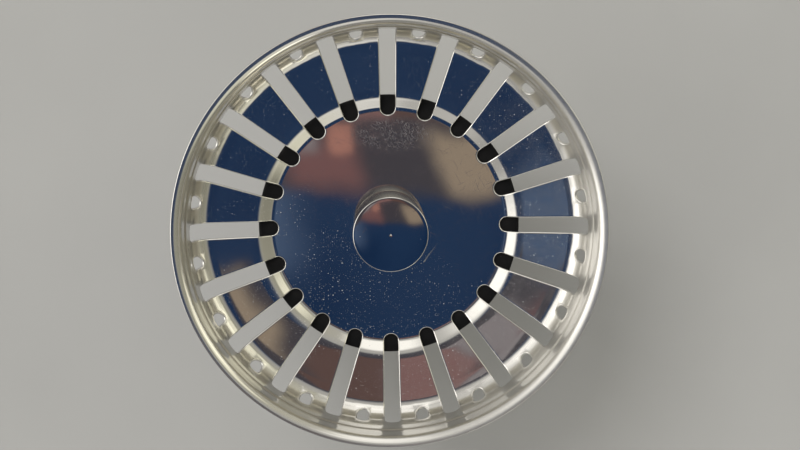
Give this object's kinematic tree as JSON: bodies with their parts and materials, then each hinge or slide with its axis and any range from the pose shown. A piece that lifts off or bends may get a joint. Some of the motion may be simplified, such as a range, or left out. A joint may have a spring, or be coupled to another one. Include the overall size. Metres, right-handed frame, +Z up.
{
  "type": "sink basket strainer",
  "caption": "Pressed steel sink drain basket with radial slots and side holes, a lifting knob, a rubber stopper seal beneath and a stem with a sprung ball catch.",
  "frame": {"origin": "centre of the tip of the stem, the lowest point of the strainer", "axes": "+Z up along the strainer's axis, from the stem to the open bowl; X runs through the two catch balls"},
  "size_m": [0.0788, 0.0788, 0.048],
  "materials": {
    "stainless_sheet": "polished",
    "turned_steel": "polished",
    "fastener_steel": "satin",
    "spring_steel": "polished",
    "rubber": "matte"
  },
  "bodies": {
    "strainer": {"strainer_basket": "stainless_sheet", "knob": "turned_steel", "knob_o_ring": "rubber", "stem": "turned_steel", "rubber_seal": "rubber", "seal_cup": "stainless_sheet", "lock_washer": "fastener_steel", "clamp_nut": "fastener_steel", "catch_spring": "spring_steel"},
    "catch_left": {"catch_ball_left": "spring_steel"},
    "catch_right": {"catch_ball_right": "spring_steel"}
  },
  "joints": [
    {"name": "catch_left_press", "type": "slide", "parent": "strainer", "child": "catch_left", "axis": [-1, 0, 0], "range_m": [-0.0008, 0], "stiffness_N_per_m": 1500, "springref_m": 0.0005, "deforming": ["catch_spring"]},
    {"name": "catch_right_press", "type": "slide", "parent": "strainer", "child": "catch_right", "axis": [1, 0, 0], "range_m": [-0.0008, 0], "stiffness_N_per_m": 1500, "springref_m": 0.0005, "deforming": ["catch_spring"]}
  ]
}
